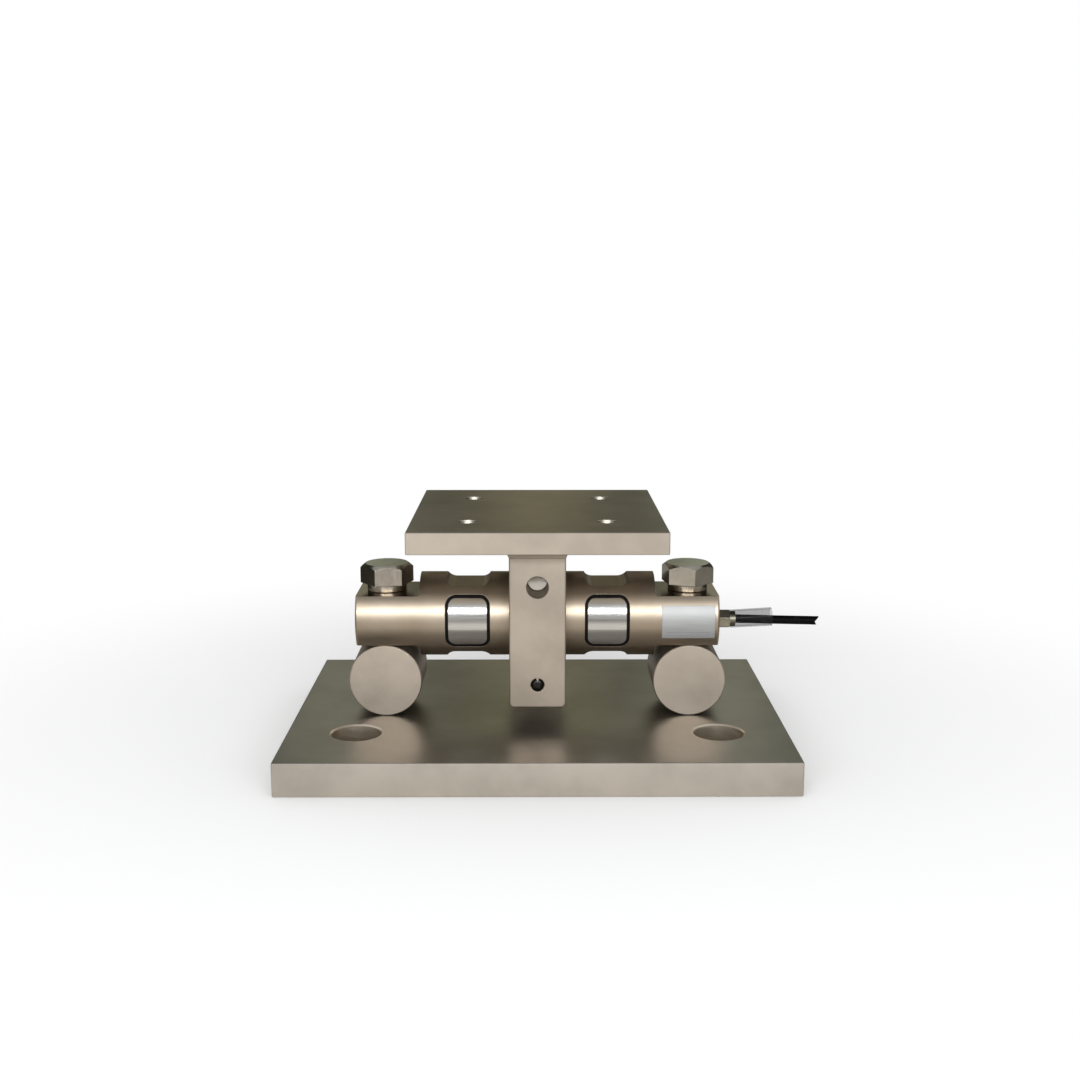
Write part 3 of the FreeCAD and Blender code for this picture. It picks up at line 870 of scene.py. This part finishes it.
def readRoute(settings):
    curve = bpy.data.curves.new("cableRoute", "CURVE")
    curve.dimensions = "3D"
    curve.resolution_u = settings["routeSteps"]
    spline = curve.splines.new("NURBS")
    spline.points.add(len(settings["route"]) - 1)
    for point, place in zip(spline.points, settings["route"]):
        point.co = (*place, 1)
    spline.order_u = 3
    spline.use_endpoint_u = True
    holder = bpy.data.objects.new("cableRouteHolder", curve)
    bpy.context.scene.collection.objects.link(holder)
    shown = holder.evaluated_get(bpy.context.evaluated_depsgraph_get())
    line = bpy.data.meshes.new_from_object(shown)
    points = [vertex.co.copy() for vertex in line.vertices]
    bpy.data.objects.remove(holder)
    return points


def makeCable(settings, points):
    radius = settings["diameter"] / 2
    inner = radius - settings["wall"]
    sides = settings["sides"]
    notch = settings["notchMiddle"]
    collar = notch - settings["notchCollar"]
    shape = bmesh.new()

    def ring(centre, size, notched=False):
        made = []
        for step in range(sides):
            angle = math.tau * step / sides
            up = math.sin(angle)
            x = centre.x
            if notched:
                tip = settings["upperTip"] if up > 0 else settings["lowerTip"]
                x = notch + tip * abs(up) * size / radius
            made.append(shape.verts.new((x, centre.y + size * math.cos(angle), centre.z + size * up)))
        return made

    rings = [ring(p, radius) for p in points if p.x < collar - settings["routeGap"]]
    end = points[-1]
    rings.append(ring(Vector((collar, end.y, end.z)), radius))
    rings.append(ring(end, radius, notched=True))
    rings.append(ring(end, inner, notched=True))
    rings.append(ring(Vector((notch - settings["hollow"], end.y, end.z)), inner))
    for first, second in zip(rings, rings[1:]):
        for step in range(sides):
            after = (step + 1) % sides
            shape.faces.new((first[step], first[after], second[after], second[step]))
    shape.faces.new(list(reversed(rings[0])))
    shape.faces.new(rings[-1])
    bmesh.ops.recalc_face_normals(shape, faces=shape.faces)
    for face in shape.faces:
        face.smooth = len(face.verts) == 4
    for edge in shape.edges:
        if edge.calc_face_angle(0) > math.radians(settings["creaseAngle"]):
            edge.smooth = False
    mesh = bpy.data.meshes.new("cable_jacket")
    shape.to_mesh(mesh)
    shape.free()
    mesh.materials.append(finishes["cable_jacket"])
    return mesh


# Insulated cores that show in the cut end
coreSettings = {
    "count": 4,
    "sides": 20,
    "ringRadius": 0.00098,
    "sheathRadius": 0.00062,
    "strandRadius": 0.00034,
    "length": 0.0021,
    "strandLength": 0.0026,
    "turn": (0.0, math.pi / 2, 0.0),
}


def makeCores(settings, centre):
    t = NodeTree("cableCores", {**settings, "centre": centre})
    ringPoints = t.node(
        "GeometryNodeMeshCircle", {}, {"Vertices": t.given("count"), "Radius": t.given("ringRadius")}
    )

    def bars(radius, length, material):
        bar = t.node(
            "GeometryNodeMeshCylinder",
            {},
            {"Vertices": t.given("sides"), "Radius": radius, "Depth": length},
        )
        bar = t.raised(bar, t.maths("MULTIPLY", length, 0.5))
        placed = t.node("GeometryNodeInstanceOnPoints", {}, {"Points": ringPoints, "Instance": bar})
        laid = t.node(
            "GeometryNodeTransform",
            {},
            {"Geometry": placed, "Translation": t.given("centre"), "Rotation": t.given("turn")},
        )
        return t.finished(laid, material)

    sheaths = bars(t.given("sheathRadius"), t.given("length"), coreSheath)
    strands = bars(t.given("strandRadius"), t.given("strandLength"), copper)
    return t.bake("cable_cores", t.joined((sheaths, strands)))


routePoints = readRoute(cableSettings)
cable = linkPiece("cable_lead", makeCable(cableSettings, routePoints), "base_and_cell")
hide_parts("cable")
coreFoot = (
    cableSettings["notchMiddle"] - cableSettings["hollow"],
    routePoints[-1].y,
    routePoints[-1].z,
)
cores = linkPiece("cable_cores", makeCores(coreSettings, coreFoot), "base_and_cell")
print("cable laid along", len(routePoints), "points")


# Studio: pale floor, soft lamps, and panels that only reflections show
studio = {
    "floorRadius": 6.0,
    "floorLevel": -0.0004,
    "floorColour": (0.94, 0.94, 0.937),
    "floorFade": (0.12, 0.55),
    "discSteps": 48,
    "worldFill": 0.72,
    "wallReach": 100.0,
    "wallSteps": 40,
    "rearRadius": 0.8,
    "rearHeight": 1.1,
    "rearFoot": (0.1, 0.22),
    "rearHead": (0.5, 0.75),
    "rearTones": (
        (0.13, (0.04, 0.037, 0.03)),
        (0.27, (0.125, 0.135, 0.112)),
        (0.355, (0.88, 0.92, 0.74)),
        (0.43, (0.20, 0.216, 0.17)),
        (0.50, (0.80, 0.77, 0.50)),
        (0.57, (0.22, 0.24, 0.19)),
        (0.645, (0.92, 0.97, 0.80)),
        (0.73, (0.155, 0.17, 0.14)),
        (0.87, (0.04, 0.037, 0.03)),
    ),
    "frontRadius": 1.6,
    "frontHeight": 2.1,
    "frontTones": (
        (0.04, (0.66, 0.645, 0.62)),
        (0.16, (0.40, 0.395, 0.385)),
        (0.39, (0.50, 0.50, 0.495)),
        (0.53, (0.60, 0.60, 0.59)),
        (0.72, (0.43, 0.425, 0.41)),
        (0.98, (0.29, 0.28, 0.26)),
    ),
    "ceilingFront": -0.8,
    "ceilingReach": 1.04,
    "ceilingTones": (
        (0.0, (0.22, 0.21, 0.195)),
        (0.12, (0.09, 0.083, 0.07)),
        (0.27, (0.03, 0.026, 0.02)),
        (0.40, (0.008, 0.006, 0.004)),
        (0.65, (0.004, 0.003, 0.002)),
    ),
    "shadeTone": (0.015, 0.013, 0.009),
    "mirrorRadius": 2.0,
    "mirrorNear": (0.95, 0.90, 0.82),
    "mirrorFarLeft": (0.62, 0.59, 0.55),
    "mirrorFarRight": (0.38, 0.355, 0.33),
    "mirrorSide": (0.34, 0.325, 0.30),
    "mirrorRear": (0.8, 0.785, 0.76),
    "mirrorCorner": (0.03, 0.028, 0.022),
    "farBand": (-0.16, -0.02),
    "nearBand": (-0.52, -0.2),
    "sideBand": (0.06, 0.45),
    "cornerBand": (0.12, 0.26),
    "middleBand": (-0.06, 0.1),
    "shadowUnderX": (0.14, 0.152),
    "shadowUnderY": (0.1, 0.109),
}


def stageMesh(name, points, faces, material):
    mesh = bpy.data.meshes.new(name)
    mesh.from_pydata(points, [], faces)
    mesh.materials.append(material)
    piece = bpy.data.objects.new(name, mesh)
    bpy.context.scene.collection.objects.link(piece)
    return piece


def onlyInReflections(piece):
    piece.visible_camera = False
    piece.visible_diffuse = False
    piece.visible_transmission = False
    piece.visible_volume_scatter = False
    piece.visible_shadow = False


def disc(name, material, reach):
    count = studio["discSteps"]
    turns = [math.tau * step / count for step in range(count)]
    rim = [(reach * math.cos(turn), reach * math.sin(turn), studio["floorLevel"]) for turn in turns]
    return stageMesh(name, rim, [tuple(range(count))], material)


def glow(f, colour):
    return f.surface(f.node("ShaderNodeEmission", {}, {"Color": colour, "Strength": 1.0}))


def makeFloor():
    f = Finish("paleFloor")
    across = f.axis(0)
    along = f.axis(1)
    far = f.band((across * across + along * along) ** 0.5, *studio["floorFade"])
    matt = f.node("ShaderNodeBsdfDiffuse", {}, {"Color": (*studio["floorColour"], 1)})
    light = f.node("ShaderNodeEmission", {}, {"Color": (1, 1, 1, 1), "Strength": 1.0})
    material = f.surface(f.node("ShaderNodeMixShader", {}, {0: far, 1: matt, 2: light}))
    floor = disc("floor", material, studio["floorRadius"])
    floor.visible_glossy = False


def makeMirrorFloor():
    f = Finish("mirroredFloor")
    sideways = f.axis(0)
    across = sideways.size()
    along = f.axis(1)
    far = f.blend(f.band(sideways, *studio["farBand"]), studio["mirrorFarLeft"], studio["mirrorFarRight"])
    middle = f.blend(f.band(along, *studio["nearBand"]), far, studio["mirrorNear"])
    front = f.blend(f.band(across, *studio["sideBand"]), middle, studio["mirrorSide"])
    rear = f.blend(f.band(across, *studio["cornerBand"]), studio["mirrorRear"], studio["mirrorCorner"])
    lit = f.blend(f.band(along, *studio["middleBand"]), front, rear)
    # painted shadow: this glowing stand-in for the floor in reflections turns to shadeTone under the base
    # plate
    under = (1 - f.band(across, *studio["shadowUnderX"])) * (1 - f.band(along.size(), *studio["shadowUnderY"]))
    colour = f.blend(under, lit, studio["shadeTone"])
    return disc("mirrored_floor", glow(f, colour), studio["mirrorRadius"])


def makeWall(name, material, radius, middle, height):
    count = studio["wallSteps"]
    points = []
    for step in range(count + 1):
        angle = middle + math.radians(studio["wallReach"]) * (2 * step / count - 1)
        for z in (0.0, height):
            points.append((radius * math.sin(angle), radius * math.cos(angle), z))
    faces = [(2 * i, 2 * i + 2, 2 * i + 3, 2 * i + 1) for i in range(count)]
    return stageMesh(name, points, faces, material)


def makeRearWall():
    f = Finish("rearPanel")
    colour = f.ramp(studio["rearTones"], f.axis(0) / studio["rearRadius"] * 0.5 + 0.5)
    low = f.band(f.axis(2), *studio["rearFoot"])
    high = f.band(f.axis(2), *studio["rearHead"])
    colour = f.blend(low * (1 - high), studio["shadeTone"], colour)
    return makeWall("rear_panel", glow(f, colour), studio["rearRadius"], 0.0, studio["rearHeight"])


def makeFrontWall():
    f = Finish("frontPanel")
    colour = f.ramp(studio["frontTones"], f.axis(2) / studio["frontHeight"])
    return makeWall("front_panel", glow(f, colour), studio["frontRadius"], math.pi, studio["frontHeight"])


def makeCeiling():
    f = Finish("overheadPanel")
    reach = studio["ceilingReach"]
    front = studio["ceilingFront"]
    corners = ((-reach, front), (reach, front), (reach, reach), (-reach, reach))
    points = [(x, y, studio["rearHeight"]) for x, y in corners]
    colour = f.ramp(studio["ceilingTones"], (f.axis(1) - front) / (reach - front))
    return stageMesh("overhead_panel", points, [(0, 1, 2, 3)], glow(f, colour))


makeFloor()
for panel in (makeMirrorFloor(), makeRearWall(), makeFrontWall(), makeCeiling()):
    onlyInReflections(panel)


# The softbox lights all but the flat plates; each other lamp lights only the nodes it names
plates = ("base_plate", "top_plate")
rollers = ("left_roller", "right_roller")
bolts = ("left_bolt", "right_bolt")
sideLit = (*plates, "yoke", "load_cell_body", *rollers)
lampColour = (0.985, 1.0, 1.02)
lampSettings = {
    "softbox": {
        "place": (0.0, -1.35, 0.53),
        "turn": (90, 0, 0),
        "size": (2.0, 0.202),
        "watts": 19.4,
        "nodes": plates,
        "linking": "EXCLUDE",
    },
    "overhead": {
        "place": (0.0, 0.1, 1.05),
        "turn": (0, 0, 0),
        "size": (2.0, 1.8),
        "watts": 5.0,
        "nodes": (*plates, *bolts),
        "linking": "INCLUDE",
    },
    "bounce": {
        "place": (0.0, -0.6, -0.0003),
        "turn": (180, 0, 0),
        "size": (1.1, 0.82),
        "watts": 2.1,
        "nodes": plates,
        "linking": "INCLUDE",
    },
    "fill": {
        "place": (0.0, -1.45, 0.46),
        "turn": (90, 0, 0),
        "size": (2.2, 0.88),
        "watts": 7.6,
        "nodes": (*plates, *rollers),
        "linking": "INCLUDE",
    },
    "leftSide": {
        "place": (-0.55, 0.0, 0.4),
        "turn": (90, 0, -90),
        "size": (1.16, 0.7),
        "watts": 1.5,
        "nodes": sideLit,
        "linking": "INCLUDE",
    },
    "rightSide": {
        "place": (0.55, 0.0, 0.4),
        "turn": (90, 0, 90),
        "size": (1.16, 0.7),
        "watts": 1.5,
        "nodes": sideLit,
        "linking": "INCLUDE",
    },
}


def makeLamp(name, settings):
    lamp = bpy.data.lights.new(name, "AREA")
    lamp.shape = "RECTANGLE"
    lamp.size, lamp.size_y = settings["size"]
    lamp.energy = settings["watts"]
    lamp.color = lampColour
    holder = bpy.data.objects.new(name, lamp)
    holder.location = settings["place"]
    holder.rotation_euler = [math.radians(angle) for angle in settings["turn"]]
    holder.visible_camera = False
    bpy.context.scene.collection.objects.link(holder)
    group = bpy.data.collections.new(name + "Lit")
    for node in settings["nodes"]:
        group.objects.link(nodes[node])
    for member in group.collection_objects:
        member.light_linking.link_state = settings["linking"]
    holder.light_linking.receiver_collection = group


for lampName, settings in lampSettings.items():
    makeLamp(lampName, settings)

# White to the camera and in reflections, a little less as light
world = bpy.data.worlds.new("studioWorld")
world.use_nodes = True
sky = Finish("studioWorld", world.node_tree)
rays = ("Is Camera Ray", "Is Glossy Ray", "Is Transmission Ray")
paths = [sky.node("ShaderNodeLightPath", out=ray) for ray in rays]
seen = paths[0].atLeast(paths[1]).atLeast(paths[2])
strength = studio["worldFill"] + seen * (1 - studio["worldFill"])
background = sky.node("ShaderNodeBackground", {}, {"Color": (1, 1, 1, 1), "Strength": strength})
sky.node("ShaderNodeOutputWorld", {}, {"Surface": background})
bpy.context.scene.world = world
print("studio set:", len(lampSettings), "lamps")

cameraSettings = {
    "place": (-0.001933, -0.845447, 0.287942),
    "tilt": 79.226,
    "turn": -0.245,
    "lens": 46.044,
    "sensor": 36.0,
}
cameraData = bpy.data.cameras.new("camera")
cameraData.lens = cameraSettings["lens"]
cameraData.sensor_width = cameraSettings["sensor"]
camera = bpy.data.objects.new("camera", cameraData)
camera.location = cameraSettings["place"]
camera.rotation_euler = (math.radians(cameraSettings["tilt"]), 0, math.radians(cameraSettings["turn"]))
bpy.context.scene.collection.objects.link(camera)
bpy.context.scene.camera = camera
bpy.context.scene.view_settings.view_transform = "Standard"
print("camera set")
